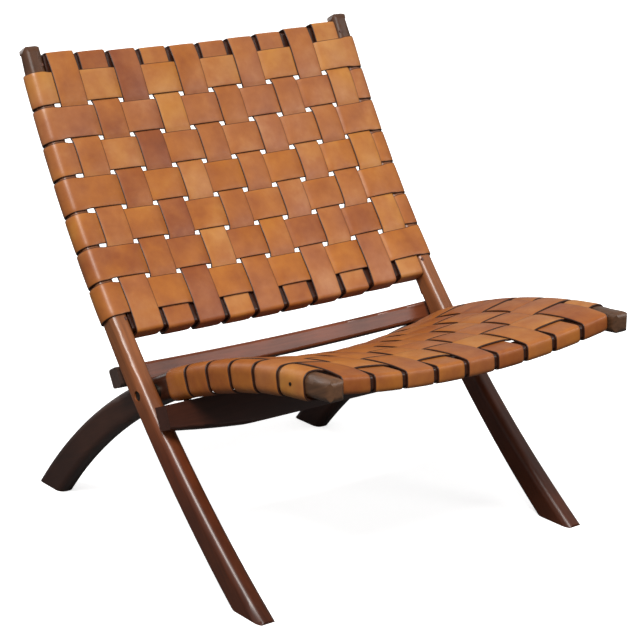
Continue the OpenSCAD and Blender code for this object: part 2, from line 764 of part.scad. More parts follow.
// Places the children at the tacks under the two rails, pointing down out of strap i.
module seat_column_tacks(i) {
    low = seat_rail_top - seat_rail_h - strap_t - 2 * lay + sag_h(seat_x(i));
    for (a = [front_rail_a, rear_rail_a]) {
        p = seat_point(a, low);
        translate([seat_x(i), p[0], p[1]]) rotate([180 - a, 0, 0])
            rotate([0, atan(sag_slope(seat_x(i))), 0]) children();
    }
}

// A seat strap from front to rear: a ribbon whose width leans with the saddle of the seat.
module seat_column(i) {
    line = seat_line(i);
    yz = [for (q = line) seat_yz(q)];
    last = len(yz) - 1;
    lean = sag_slope(seat_x(i));
    half = column_w / 2 / sqrt(1 + lean * lean);
    ring = [for (k = [0 : last]) for (c = [[-1, -1], [1, -1], [1, 1], [-1, 1]])
        let (p = yz[k] + normal_at(yz, k) * c[1] * strap_t / 2 + out(line[k][0]) * c[0] * half * lean)
        [seat_x(i) + c[0] * half, p[0], p[1]]];
    sides = [for (k = [0 : last - 1]) for (e = [0 : 3])
        let (f = (e + 1) % 4, m = 4 * k)
        for (tri = [[m + e, m + 4 + e, m + f], [m + f, m + 4 + e, m + 4 + f]]) tri];
    ends = [[0, 1, 2], [0, 2, 3], [4 * last, 4 * last + 2, 4 * last + 1],
            [4 * last, 4 * last + 3, 4 * last + 2]];
    color(i % 2 == 0 ? LEATHER : LEATHER_DARK) difference() {
        polyhedron(points = ring, faces = concat(sides, ends));
        seat_column_tacks(i) tack_shank();
    }
}

// Row j of the seat, in X and depth below the arc, wrapped round both side pieces.
function seat_row_line(j, d) = concat(
    flipped(post_wrap(side_x0, side_x1, d)),
    [for (i = [1 : seat_columns]) for (e = [-1, 1])
        [seat_x(i) + e * column_w / 2,
         -sag_h(seat_x(i)) - e * sag_slope(seat_x(i)) * column_w / 2 + side_of(i, j) * level]],
    reversed(post_wrap(side_x0, side_x1, d)));

// Tacks of row j under both side pieces, and for the first row one more in each outer face.
module seat_row_tacks(j) {
    a = row_a(j);
    p = seat_point(a, -seat_row_depth(j) - lay - strap_t);
    q = seat_point(a, -side_depth(a) / 2);
    both_sides() {
        translate([side_x0 + strap_back + tack_set, p[0], p[1]]) rotate([180 - a, 0, 0]) children();
        if (j == 1) translate([side_x1 + lay + strap_t, q[0], q[1]]) rotate([0, 90, 0]) children();
    }
}

module seat_row(j) {
    p = seat_point(row_a(j), 0);
    color(j % 2 == 0 ? LEATHER : LEATHER_DARK) difference() {
        translate([0, p[0], p[1]]) rotate([-row_a(j), 0, 0]) rotate([-90, 0, 0])
            translate([0, 0, -seat_row_w / 2]) linear_extrude(height = seat_row_w)
            polygon(ribbon(seat_row_line(j, seat_row_depth(j)), strap_t));
        seat_row_tacks(j) tack_shank();
        both_sides() bar_dowel(front_dowel_a, front_bar_top);
    }
}

module seat_tacks() {
    color(STEEL) {
        for (i = [1 : seat_columns]) seat_column_tacks(i) tack();
        for (j = [1 : seat_rows]) seat_row_tacks(j) tack();
    }
}

// ---- The chair -----------------------------------------------------------------------

mirror([1, 0, 0]) stile();  // left_stile
stile();  // right_stile
back_rail(top_rail_s, top_rail_h, top_rail_t);  // top_rail
back_rail(low_rail_s, low_rail_h, low_rail_t);  // lower_back_rail
back_pegs();
back_tacks();
mirror([1, 0, 0]) pivot_bolt();  // left_pivot_bolt
pivot_bolt();  // right_pivot_bolt
mirror([1, 0, 0]) pivot_nut();  // left_pivot_nut
pivot_nut();  // right_pivot_nut
mirror([1, 0, 0]) spacer();  // left_spacer
spacer();  // right_spacer
mirror([1, 0, 0]) side_piece();  // left_side_piece
side_piece();  // right_side_piece
seat_rail(front_rail_a, front_rail_t);  // front_seat_rail
seat_rail(rear_rail_a, rear_rail_t);  // rear_seat_rail
rear_stop_bar();
front_stop_bar();
stop_bar_dowels();
seat_tacks();
back_column(1);  // back_column_1
back_column(2);  // back_column_2
back_column(3);  // back_column_3
back_column(4);  // back_column_4
back_column(5);  // back_column_5
back_column(6);  // back_column_6
back_column(7);  // back_column_7
back_column(8);  // back_column_8
back_column(9);  // back_column_9
back_column(10);  // back_column_10
back_row(1);  // back_row_1
back_row(2);  // back_row_2
back_row(3);  // back_row_3
back_row(4);  // back_row_4
back_row(5);  // back_row_5
back_row(6);  // back_row_6
back_row(7);  // back_row_7
seat_column(1);  // seat_column_1
seat_column(2);  // seat_column_2
seat_column(3);  // seat_column_3
seat_column(4);  // seat_column_4
seat_column(5);  // seat_column_5
seat_column(6);  // seat_column_6
seat_column(7);  // seat_column_7
seat_column(8);  // seat_column_8
seat_column(9);  // seat_column_9
seat_row(1);  // seat_row_1
seat_row(2);  // seat_row_2
seat_row(3);  // seat_row_3
seat_row(4);  // seat_row_4
seat_row(5);  // seat_row_5
seat_row(6);  // seat_row_6
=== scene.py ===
# %% [markdown]
# # A folding lounge chair woven from leather straps
# Two curved frames of dark wood cross on one pivot line. Ten straps run up the back and seven
# cross them; nine run along the seat and six cross those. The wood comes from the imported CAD
# model and gets its finish here. The straps are bent here from flat strips, because a real
# strap is a flat strip that takes its shape from what it passes over.

# %% Load the frame
import json
import math
import random

import bmesh
import bpy
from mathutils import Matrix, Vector


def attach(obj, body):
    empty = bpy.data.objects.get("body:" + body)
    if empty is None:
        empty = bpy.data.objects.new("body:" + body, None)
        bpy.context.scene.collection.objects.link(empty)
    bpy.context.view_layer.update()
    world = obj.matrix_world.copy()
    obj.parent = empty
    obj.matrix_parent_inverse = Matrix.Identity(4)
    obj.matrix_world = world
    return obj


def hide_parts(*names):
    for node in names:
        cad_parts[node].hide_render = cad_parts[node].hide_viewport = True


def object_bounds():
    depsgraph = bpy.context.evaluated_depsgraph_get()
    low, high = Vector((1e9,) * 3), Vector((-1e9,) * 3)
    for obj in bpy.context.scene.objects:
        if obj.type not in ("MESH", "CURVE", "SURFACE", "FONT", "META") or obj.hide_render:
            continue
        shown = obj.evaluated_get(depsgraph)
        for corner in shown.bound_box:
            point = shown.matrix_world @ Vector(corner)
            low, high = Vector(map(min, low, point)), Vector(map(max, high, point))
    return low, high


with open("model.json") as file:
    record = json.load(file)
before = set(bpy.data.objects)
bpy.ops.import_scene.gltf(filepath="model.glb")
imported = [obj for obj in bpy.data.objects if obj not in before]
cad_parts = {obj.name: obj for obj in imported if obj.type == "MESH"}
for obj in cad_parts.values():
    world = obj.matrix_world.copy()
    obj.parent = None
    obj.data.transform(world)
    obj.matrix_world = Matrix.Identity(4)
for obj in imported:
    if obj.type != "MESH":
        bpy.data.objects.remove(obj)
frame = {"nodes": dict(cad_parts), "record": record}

MM = 0.001
nodes = frame["nodes"]
cad_low, cad_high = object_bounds()
middle = (cad_low + cad_high) / 2
random.seed(7)
print("the chair is", [round(v / MM) for v in (cad_high - cad_low)], "mm across X, Y and Z")

# %% [markdown]
# ## The camera
# A long lens from the front left, a little above the seat, keeps the verticals calm while the
# crossing frames can both be read. It is made first, so that every later step can be judged
# through it.

# %% Camera
EYE = (-1.8066, -2.3980, 1.2197)
TILT, ROLL, TURN = 73.349, -0.115, -37.085
LENS, SENSOR = 114.52, 36


def make_camera():
    data = bpy.data.cameras.new("camera")
    data.sensor_width = SENSOR
    data.lens = LENS
    data.clip_end = 100
    camera = bpy.data.objects.new("camera", data)
    camera.location = EYE
    camera.rotation_euler = [math.radians(angle) for angle in (TILT, ROLL, TURN)]
    bpy.context.scene.collection.objects.link(camera)
    bpy.context.scene.camera = camera
    return camera


camera = make_camera()
print("camera", [round(v, 3) for v in camera.location])

# %% [markdown]
# ## Light
# A catalogue studio lights a chair from high on the left, so that each strap throws a short
# shadow on the next one and the weave can be read. The key is a sun lamp with a wide angle,
# which acts as a big softbox that is equally bright over the whole floor. Three small panels
# help it. One on the right puts the waxy sheen on the back, a tall strip on the left draws a
# bright line along the rounded edges of the wood, and one behind keeps the rear from going
# black.

# %% Light
SUN_FROM, SUN_AWAY = Vector((-0.42, -0.40, 0.81)), 4
SUN_POWER, SUN_WIDTH = 2.9, math.radians(24)
WARM_WHITE = (1.0, 0.985, 0.96)


def place_lamp(name, data, place):
    """Hangs a lamp at a place and aims it at the middle of the chair."""
    lamp = bpy.data.objects.new(name, data)
    lamp.location = place
    lamp.rotation_mode = "QUATERNION"
    lamp.rotation_quaternion = (middle - Vector(place)).to_track_quat("-Z", "Y")
    bpy.context.scene.collection.objects.link(lamp)
    return lamp


def make_sun():
    data = bpy.data.lights.new("key_sun", "SUN")
    data.energy = SUN_POWER
    data.angle = SUN_WIDTH
    data.color = WARM_WHITE
    return place_lamp("key_sun", data, middle + SUN_FROM * SUN_AWAY)


def make_panel(name, place, width, height, power):
    data = bpy.data.lights.new(name, "AREA")
    data.shape = "RECTANGLE"
    data.size, data.size_y = width, height
    data.energy = power
    return place_lamp(name, data, place)


lamps = [make_sun(),
         make_panel("sheen_panel", (2.0, -2.1, 1.9), width=1.4, height=0.9, power=13),
         make_panel("rear_fill", (-0.6, 3.1, 1.6), width=2.0, height=2.0, power=18),
         make_panel("edge_strip", (-1.5, -2.8, 2.6), width=0.5, height=2.0, power=12)]
print("lamps:", ", ".join(lamp.name for lamp in lamps))

# %% [markdown]
# ## Colours and nodes
# Paint and print colours are quoted as sRGB hex values, while Blender mixes light in linear
# values, so one function does that conversion. A second small function adds a node with its
# settings and links, and every material below is written with it.

# %% Colour and node helpers
def hex_colour(text):
    """Linear red, green, blue and alpha of an sRGB hex value."""
    values = [int(text[i:i + 2], 16) / 255 for i in (0, 2, 4)]
    return [v / 12.92 if v <= 0.04045 else ((v + 0.055) / 1.055) ** 2.4 for v in values] + [1.0]


def add(tree, kind, settings=None, values=None, links=None):
    """Adds a node, sets its settings and its input values, and links sockets into it."""
    node = tree.nodes.new(kind)
    for setting, value in (settings or {}).items():
        setattr(node, setting, value)
    for entry, value in (values or {}).items():
        node.inputs[entry].default_value = value
    for entry, socket in (links or {}).items():
        tree.links.new(socket, node.inputs[entry])
    return node


def set_ramp(node, stops):
    """Gives a colour ramp its stops, each a place from 0 to 1 and a hex value."""
    ramp = node.color_ramp
    while len(ramp.elements) < len(stops):
        ramp.elements.new(0.5)
    for element, (place, colour) in zip(ramp.elements, stops):
        element.position = place
        element.color = hex_colour(colour)


def new_material(name):
    material = bpy.data.materials.new(name)
    material.use_nodes = True
    tree = material.node_tree
    return material, tree, tree.nodes["Principled BSDF"]


print("middle grey is", round(hex_colour("777777")[0], 3), "in linear light")

# %% [markdown]
# ## From bmesh to object
# Every piece made here is built in a bmesh, which is Blender's workbench for meshes. When it
# is done, it is written to a mesh, given its material and put into the scene. The object
# stays at the origin, unturned and unscaled, so that patterns keep their place and size.

# %% Object helper
def make_object(name, bm, material):
    """Turns a finished bmesh into an object of one material."""
    mesh = bpy.data.meshes.new(name)
    bm.to_mesh(mesh)
    bm.free()
    mesh.materials.append(material)
    piece = bpy.data.objects.new(name, mesh)
    bpy.context.scene.collection.objects.link(piece)
    return piece


# %% [markdown]
# ## Room and floor
# In a product studio the board under the chair is lit until it is paper white, and dark cloth
# hangs around it, so that its glare doesn't wash out the wood. A renderer can do the same by
# kind of ray: the board and the room are white to the eye, and dim to the chair.
# A Light Path node tells the rays that come from the camera from all the others.

# %% Room
WHITE = hex_colour("FFFFFF")
ROOM_GREY = 0.32


def make_room():
    world = bpy.data.worlds.new("dim_room")
    world.use_nodes = True
    tree = world.node_tree
    dim = tree.nodes["Background"]
    dim.inputs["Color"].default_value = WHITE
    dim.inputs["Strength"].default_value = ROOM_GREY
    white = add(tree, "ShaderNodeBackground", values={"Color": WHITE, "Strength": 1.0})
    ray = add(tree, "ShaderNodeLightPath")
    both = add(tree, "ShaderNodeMixShader", links={
        0: ray.outputs["Is Camera Ray"], 1: dim.outputs[0], 2: white.outputs[0]})
    tree.links.new(both.outputs[0], tree.nodes["World Output"].inputs["Surface"])
    bpy.context.scene.world = world
    bpy.context.scene.view_settings.view_transform = "Standard"


make_room()
print("the room has a strength of", ROOM_GREY, "for the chair")

# %% Floor
FLOOR_REACH, FLOOR_DROP = 30, 0.4 * MM
BOARD_GLOW = 0.68


def make_board_paint():
    """Matt white paint on board: it shows soft contact shadows and no reflections."""
    material, tree, shader = new_material("matt_white_painted_board")
    shader.inputs["Base Color"].default_value = hex_colour("F7F7F7")
    shader.inputs["Roughness"].default_value = 0.9
    glow = add(tree, "ShaderNodeEmission", values={"Color": WHITE, "Strength": BOARD_GLOW})
    bright = add(tree, "ShaderNodeAddShader", links={0: shader.outputs[0], 1: glow.outputs[0]})
    dim = add(tree, "ShaderNodeBsdfDiffuse", values={"Color": hex_colour("555555")})
    ray = add(tree, "ShaderNodeLightPath")
    both = add(tree, "ShaderNodeMixShader", links={
        0: ray.outputs["Is Camera Ray"], 1: dim.outputs[0], 2: bright.outputs[0]})
    tree.links.new(both.outputs[0], tree.nodes["Material Output"].inputs["Surface"])
    return material


def make_floor():
    bm = bmesh.new()
    bmesh.ops.create_grid(bm, x_segments=1, y_segments=1, size=FLOOR_REACH)
    bmesh.ops.translate(bm, verts=bm.verts[:], vec=(0, 0, cad_low.z - FLOOR_DROP))
    floor = make_object("floor", bm, make_board_paint())
    return floor


floor = make_floor()
print("the floor reaches", round(floor.dimensions.x), "m across")

# %% [markdown]
# ## The sizes of the chair
# These are the same named sizes as in the CAD model: the curve of the stiles, the arc of the
# seat and the pitches of the weave. The centres of both arcs follow from the pivot, which the
# frame's record holds, so the straps land on the wood without any fitting.

# %% Sizes of the frames
# A stile is a curved bar: the radius of its front edge, how far its foot leans from upright,
# its length, its depth at the foot and at the tip, and the rounding of its edges.
STILE_RADIUS, FOOT_LEAN, STILE_LEN = 1.900, math.radians(54.5), 0.967
STILE_FOOT_DEPTH, STILE_TIP_DEPTH, EDGE_R = 0.051, 0.027, 0.011
# A side piece of the seat is an arch: the radius of its top edge, the angle of its front end
# and its depth at the heel and at the nose.
ARC_RADIUS, NOSE_A = 1.110, math.radians(2.35)
SIDE_HEEL_DEPTH, SIDE_NOSE_DEPTH = 0.055, 0.032
# The pivot: how far up the stile it is and how deep in it, and its angle and depth on the arc.
PIVOT_S, PIVOT_INSET, PIVOT_A, PIVOT_DROP = 0.401, 0.017, math.radians(25.4), 0.0235
# Sideways: the outer and inner face of a stile, and of a side piece.
HALF_W = 0.310
INNER_X = HALF_W - 0.030
SIDE_X1 = INNER_X - 0.004
SIDE_X0 = SIDE_X1 - 0.028
print("the stiles are", round(2 * HALF_W / MM), "mm apart over their outer faces")

# %% Sizes of the leather
# A strap is 3 mm thick, and 0.2 mm of air lies between it and what it lies on. Its middle
# then runs LIFT away from that face.
STRAP, LAY = 0.0030, 0.0002
LIFT = STRAP / 2 + LAY
COLUMN_W, ROW_W, ROW_PITCH = 0.048, 0.051, 0.0573
SEAT_ROW_W, SEAT_ROW_PITCH = 0.053, 0.0594
print("gap between two rows of the back", round((ROW_PITCH - ROW_W) / MM, 1), "mm")


# %% The two arcs
def ray(lean):
    """Points from the centre of the stile's arc to where the stile leans this much."""
    return Vector((0, math.cos(lean), -math.sin(lean)))


def out(a):
    """Points from the centre of the seat's arc to the place at angle a behind its top."""
    return Vector((0, math.sin(a), math.cos(a)))


def lean_at(s):
    return FOOT_LEAN - s / STILE_RADIUS


def stile_point(s, n):
    """The point s up the stile from its foot and n behind its front edge."""
    return stile_centre + (STILE_RADIUS + n) * ray(lean_at(s))


def seat_point(a, h):
    """The point at angle a and h above the top edge of the side pieces."""
    return seat_centre + (ARC_RADIUS + h) * out(a)


pivot = Vector(frame["record"]["behaviour"]["joints"][0]["pos_m"])
stile_centre = pivot - (STILE_RADIUS + PIVOT_INSET) * ray(lean_at(PIVOT_S))
seat_centre = pivot - (ARC_RADIUS - PIVOT_DROP) * out(PIVOT_A)
print("stile foot", [round(v / MM, 1) for v in stile_point(0, 0)])

# %% [markdown]
# ## How a strap is bent
# The path of a strap is first a chain of straight runs from corner to corner, as it would be
# if leather could be folded like paper. Tensioned leather spreads each bend over a centimetre
# or two, so the corners are cut off three times over, which turns the chain into a smooth
# curve. Points at even steps along it then carry the mesh.

# %% Path helpers
def soften(points, rounds=3):
    """Cuts the corners of a chain of points, and keeps its two ends."""
    for _ in range(rounds):
        new = [points[0]]
        for a, b in zip(points, points[1:]):
            new += [a.lerp(b, 0.25), a.lerp(b, 0.75)]
        points = new + [points[-1]]
    return points


def even_steps(points, step):
    """Places points at even steps along a chain."""
    lengths = [0.0]
    for a, b in zip(points, points[1:]):
        lengths.append(lengths[-1] + (b - a).length)
    count = max(2, round(lengths[-1] / step))
    result, k = [], 0
    for i in range(count + 1):
        want = lengths[-1] * i / count
        while k < len(points) - 2 and lengths[k + 1] < want:
            k += 1
        span = lengths[k + 1] - lengths[k]
        result.append(points[k].lerp(points[k + 1], (want - lengths[k]) / span if span else 0))
    return result


bend = soften([Vector((0, 0, 0)), Vector((0.02, 0, 0)), Vector((0.02, 0, 0.02))])
print("a right-angled bend is cut into", len(bend), "points")

# %% [markdown]
# ## How a strap is made
# A strap is cut flat from a hide, threaded through the weave and nailed at its ends. Here it
# is made in that order. A flat grid is the cut strip, and its UV map is laid out in metres so
# that burnished edges keep their real size. The rows of the grid are then set along the path,
# the strip is thickened by a solidify, and its long edges are rounded by a bevel.

# %% Strap sizes
STEP, FACES_ACROSS = 3.0 * MM, 8
# Tension swells a strap between its neighbours, and its cut edges curl slightly away.
PILLOW, CURL = 0.9 * MM, 0.45 * MM
EDGE_ROUND, SHARP_EDGE = 0.9 * MM, 1.0
print("a strap has a row of faces every", round(STEP / MM), "mm")


# %% Cut and bend a strip
def cut_strip(bm, steps, length, width):
    """A grid one unit square. Its UV map gives the place along the strip in metres, and the
    distance from the nearest cut edge."""
    uv = bm.loops.layers.uv.new("strap_uv")
    bmesh.ops.create_grid(bm, x_segments=steps, y_segments=FACES_ACROSS, size=0.5)
    for face in bm.faces:
        for loop in face.loops:
            place = loop.vert.co
            loop[uv].uv = ((place.x + 0.5) * length, (0.5 - abs(place.y)) * width)


def sideways(p):
    """The sideways direction of a strap that lies straight up and down the chair."""
    return Vector((1, 0, 0))


def strap_axes(path, k, across, facing):
    """The sideways direction and the upper side of a strap at step k of its path."""
    run = (path[min(k + 1, len(path) - 1)] - path[max(k - 1, 0)]).normalized()
    side = across(path[k])
    return side, run.cross(side).normalized() * facing


def bend_strip(bm, path, width, across, facing, crossings):
    """Sets the grid's rows along the path, with their swell and curl."""
    last = len(path) - 1
    swell = [sum(sign * PILLOW * max(0, 1 - ((p - centre).length / half) ** 2)
                 for centre, half, sign in crossings) for p in path]
    for vert in bm.verts:
        k = min(last, max(0, round((vert.co.x + 0.5) * last)))
        t = vert.co.y
        side, normal = strap_axes(path, k, across, facing)
        rise = swell[k] * (1 - (2 * t) ** 2) - CURL * (2 * t) ** 4
        vert.co = path[k] + side * (t * width) + normal * (STRAP / 2 + rise)


def turn_up(bm, path, length, across, facing):
    """Makes all faces look to the strap's upper side, judged at one face in its middle."""
    bmesh.ops.recalc_face_normals(bm, faces=bm.faces[:])
    bm.faces.ensure_lookup_table()
    face = bm.faces[len(bm.faces) // 2]
    uv = bm.loops.layers.uv["strap_uv"]
    k = min(len(path) - 1, max(0, round(face.loops[0][uv].uv.x / length * (len(path) - 1))))
    if face.normal.dot(strap_axes(path, k, across, facing)[1]) < 0:
        bmesh.ops.reverse_faces(bm, faces=bm.faces[:])


down = [Vector((0, 0, 1)), Vector((0, 0, 0))]
print("a strap that runs down the back looks along", strap_axes(down, 0, sideways, 1)[1][:])


# %% Thicken a strip and finish a strap
def thicken(bm):
    """Gives the strip its thickness and rounds its long edges."""
    bmesh.ops.solidify(bm, geom=bm.faces[:], thickness=STRAP)
    rims = [e for e in bm.edges if len(e.link_faces) == 2 and e.calc_face_angle() > SHARP_EDGE]
    bmesh.ops.bevel(bm, geom=rims, offset=EDGE_ROUND, offset_type="OFFSET", segments=2,
                    profile=0.5, affect="EDGES", material=-1)
    for face in bm.faces:
        face.smooth = True


def make_strap(name, corners, across, width, tone, body, replaced, facing, crossings):
    """Makes one strap. across(p) is the sideways direction at a point of the path, and a
    crossing is (middle, half length, 1 where the strap is on the sitter's side or -1)."""
    path = even_steps(soften(corners), STEP)
    length = (len(path) - 1) * STEP
    bm = bmesh.new()
    cut_strip(bm, len(path) - 1, length, width)
    bend_strip(bm, path, width, across, facing, crossings)
    turn_up(bm, path, length, across, facing)
    thicken(bm)
    strap = make_object(name, bm, leather)
    dye = strap.data.attributes.new("strap_tone", "FLOAT_COLOR", "POINT")
    for item in dye.data:
        item.color = tone + (1,)
    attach(strap, body)
    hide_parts(replaced)
    return strap


print("straps are", round(STRAP / MM), "mm thick, with edges rounded by", EDGE_ROUND / MM, "mm")

# %% [markdown]
# ## Leather
# Vegetable-tanned cowhide, split to 3 mm, dyed tan through and waxed. The dye takes unevenly:
# some straps are golden and some are rosy, and each has cloudy patches a few centimetres
# wide. Wax gives a soft sheen, and the cut edges are burnished almost black-brown. That dark
# rim reaches 2 mm onto the face, so it is also painted shade for the shadow lines between the
# straps. Noise in four dimensions makes the clouds, because its fourth value can be a number
# of the strap's own, and then no two straps share a pattern.

# %% Leather colour
CLOUD, BLOTCH, BLUSH, GRAIN = 50 * MM, 11 * MM, 70 * MM, 1.6 * MM
GOLDEN = [(0.28, "C4853A"), (0.46, "B06926"), (0.64, "954F1D"), (0.90, "6C3412")]
ROSY = [(0.28, "C28A60"), (0.46, "A66640"), (0.64, "8A4B2C"), (0.90, "5F2D1B")]
# The edge colour is burnish and painted shade: it also draws the shadow lines between straps.
BURNISH_AND_SHADE = "331709"
# How much the clouds, the blotches and the blush noise change the dye.
CLOUD_WEIGHT, BLOTCH_WEIGHT, BLUSH_WEIGHT = 0.50, 0.13, 1.6


def dye_leather(tree, place, blotches, tone):
    """The dyed hide: the darker it is, the further along both ramps, and blush mixes them.
    The strap's tone holds its depth, its blush and its own number for the noise."""
    clouds = add(tree, "ShaderNodeTexNoise", {"noise_dimensions": "4D"},
                 {"Scale": 1 / CLOUD, "Detail": 3, "Roughness": 0.55},
                 {"Vector": place.outputs["Object"], "W": tone.outputs["Blue"]})
    depth = add(tree, "ShaderNodeMath", {"operation": "MULTIPLY_ADD"}, {1: CLOUD_WEIGHT},
                {0: clouds.outputs["Fac"], 2: tone.outputs["Red"]})
    depth = add(tree, "ShaderNodeMath", {"operation": "MULTIPLY_ADD"}, {1: BLOTCH_WEIGHT},
                {0: blotches.outputs["Fac"], 2: depth.outputs[0]})
    golden = add(tree, "ShaderNodeValToRGB", links={"Fac": depth.outputs[0]})
    set_ramp(golden, GOLDEN)
    rosy = add(tree, "ShaderNodeValToRGB", links={"Fac": depth.outputs[0]})
    set_ramp(rosy, ROSY)
    blush = add(tree, "ShaderNodeTexNoise", {"noise_dimensions": "4D"},
                {"Scale": 1 / BLUSH, "Detail": 2},
                {"Vector": place.outputs["Object"], "W": tone.outputs["Green"]})
    blush = add(tree, "ShaderNodeMath", {"operation": "ADD"}, {1: -0.5},
                {0: blush.outputs["Fac"]})
    blush = add(tree, "ShaderNodeMath", {"operation": "MULTIPLY_ADD", "use_clamp": True},
                {1: BLUSH_WEIGHT}, {0: blush.outputs[0], 2: tone.outputs["Green"]})
    return add(tree, "ShaderNodeMix", {"data_type": "RGBA"},
               links={"Factor": blush.outputs[0], "A": golden.outputs["Color"],
                      "B": rosy.outputs["Color"]})


def burnish_and_shade_edges(tree, hide):
    """Darkens the hide from 2.0 to 0.4 mm from a cut edge, as the strap's UV map gives it.
    The dark rim is burnish, and painted shade for the shadow lines between the straps.
    """
    strip = add(tree, "ShaderNodeUVMap", {"uv_map": "strap_uv"})
    from_edge = add(tree, "ShaderNodeSeparateXYZ", links={"Vector": strip.outputs["UV"]})
    edge = add(tree, "ShaderNodeMapRange", {"interpolation_type": "SMOOTHSTEP"},
               {"From Min": 0.4 * MM, "From Max": 2.0 * MM, "To Min": 1.0, "To Max": 0.0},
               {"Value": from_edge.outputs["Y"]})
    return add(tree, "ShaderNodeMix", {"data_type": "RGBA"}, {"B": hex_colour(BURNISH_AND_SHADE)},
               {"Factor": edge.outputs["Result"], "A": hide.outputs["Result"]})


print("clouds", round(CLOUD / MM), "mm and blotches", round(BLOTCH / MM), "mm wide")

# %% [markdown]
# ## The surface of the leather
# The colour alone would look like printed paper. The blotches also stand up a little and
# shine a little less, since the wax sits unevenly, and a fine grain breaks up the gleam.

# %% Leather material
def make_leather():
    """Waxed leather: a broad soft sheen, from a half-rough surface under a thin coat."""
    material, tree, shader = new_material("waxed_vegetable_tanned_leather")
    place = add(tree, "ShaderNodeTexCoord")
    strap_tone = add(tree, "ShaderNodeAttribute", {"attribute_name": "strap_tone"})
    tone = add(tree, "ShaderNodeSeparateColor", links={"Color": strap_tone.outputs["Color"]})
    blotches = add(tree, "ShaderNodeTexNoise", {"noise_dimensions": "4D"},
                   {"Scale": 1 / BLOTCH, "Detail": 4, "Roughness": 0.6},
                   {"Vector": place.outputs["Object"], "W": tone.outputs["Blue"]})
    hide = dye_leather(tree, place, blotches, tone)
    # The rims darken: burnished edges, and painted shade for the lines between the straps.
    coloured = burnish_and_shade_edges(tree, hide)
    tree.links.new(coloured.outputs["Result"], shader.inputs["Base Color"])
    # Grain drawn at 1.6 mm, about twice its real size, so that it shows at all.
    grain = add(tree, "ShaderNodeTexNoise", values={"Scale": 1 / GRAIN, "Detail": 3},
                links={"Vector": place.outputs["Object"]})
    relief = add(tree, "ShaderNodeMath", {"operation": "MULTIPLY_ADD"}, {1: 3.0},
                 {0: blotches.outputs["Fac"], 2: grain.outputs["Fac"]})
    bump = add(tree, "ShaderNodeBump", values={"Strength": 0.3, "Distance": 0.3 * MM},
               links={"Height": relief.outputs[0]})
    tree.links.new(bump.outputs["Normal"], shader.inputs["Normal"])
    rough = add(tree, "ShaderNodeMapRange", values={"To Min": 0.32, "To Max": 0.54},
                links={"Value": blotches.outputs["Fac"]})
    tree.links.new(rough.outputs["Result"], shader.inputs["Roughness"])
    shader.inputs["IOR"].default_value = 1.48
    shader.inputs["Coat Weight"].default_value = 0.12
    shader.inputs["Coat Roughness"].default_value = 0.3
    return material


leather = make_leather()
print("leather has", len(leather.node_tree.nodes), "nodes")

# %% [markdown]
# ## Where the straps of the back go
# Two rails are tenoned into the stiles, and both bow away from the sitter and a little
# downwards in the middle. The straps up the back, the columns, are spread evenly between the
# stiles from column 1 on the left. The straps across, the rows, are counted down from the
# top. A column passes over a row on the sitter's side where their two numbers add up to an
# even number.

# %% Places on the back
# A rail is given by its place up the stile, its height and its thickness.
TOP_RAIL = (0.934, 0.034, 0.018)
LOW_RAIL = (0.5185, 0.037, 0.024)
# The rails lie 4 mm behind the front edge, and bow 7 mm backwards and 9 mm downwards.
RAIL_INSET, BOW_N, BOW_S = 0.004, 0.007, 0.009
BACK_COLUMNS, BACK_ROWS = 10, 7
# The gaps beside the first and the last column, and how far the last row laps its rail.
LEFT_GAP, RIGHT_GAP, RAIL_LAP = 0.0047, 0.0005, 0.012
# Between the posts the rows hang 4.3 mm lower, and as a whole they have slipped by 1.4 mm.
ROW_DIP, ROW_SLIP = 0.0043, 0.0014
rows_top = LOW_RAIL[0] + LOW_RAIL[1] / 2 - RAIL_LAP - ROW_SLIP + BACK_ROWS * ROW_PITCH
column_pitch = (2 * INNER_X - LEFT_GAP - RIGHT_GAP - COLUMN_W) / (BACK_COLUMNS - 1)


def side_of(i, j):
    """1 where column i passes row j on the sitter's side, and -1 where it passes behind."""
    return 1 if (i + j) % 2 == 0 else -1


def bow(x, half):
    """The share of a bow at x: 1 in the middle and 0 at both ends."""
    return 1 - (min(abs(x), half) / half) ** 2


def row_s(j):
    return rows_top - (j - 0.5) * ROW_PITCH


def column_x(i):
    return -INNER_X + LEFT_GAP + COLUMN_W / 2 + (i - 1) * column_pitch


def dip(x):
    """How far a row has slid down the back at x, since the weave sags between the posts."""
    return ROW_DIP * bow(x, INNER_X)


print("the rows are at", [round(row_s(j) / MM) for j in range(1, BACK_ROWS + 1)], "mm")

# %% [markdown]
# ## The wraps round the rails
# Each column goes once round each rail and ends in nails behind it. Its path there is the
# rail's own outline, pushed out by half a strap and with its corners cut. A rail is bowed
# and a strap is flat, so the strap clears the rail's nearest point over its whole width.

# %% Wraps round the rails
WRAP_CUT, END_TRIM, CORNER_SHARE = 0.004, 0.006, 0.3


def least_bow(x):
    return bow(abs(x) + COLUMN_W / 2, INNER_X)


def most_bow(x):
    return bow(max(abs(x) - COLUMN_W / 2, 0), INNER_X)


def rail_point(s, u, n):
    return stile_point(s, 0) + u * out(lean_at(s)) + n * ray(lean_at(s))


def rail_wrap(rail, x, way):
    """The path from the front of a rail over its outer edge to its back. way is 1 for the
    top rail and -1 for the lower one."""
    s, h, t = rail
    n0 = RAIL_INSET + BOW_N * least_bow(x) - LIFT
    n1 = RAIL_INSET + t + BOW_N * most_bow(x) + LIFT
    edge = way * (h / 2 + LIFT) - BOW_S * (least_bow(x) if way > 0 else most_bow(x))
    c, corner = WRAP_CUT, WRAP_CUT * CORNER_SHARE
    steps = [(edge - way * c, n0), (edge - way * corner, n0 + corner), (edge, n0 + c),
             (edge, n1 - c), (edge - way * corner, n1 - corner), (edge - way * c, n1),
             (edge - way * (h - END_TRIM), n1)]
    return [rail_point(s, u, n) + Vector((x, 0, 0)) for u, n in steps]


print("a wrap round the top rail has", len(rail_wrap(TOP_RAIL, 0, 1)), "corners")

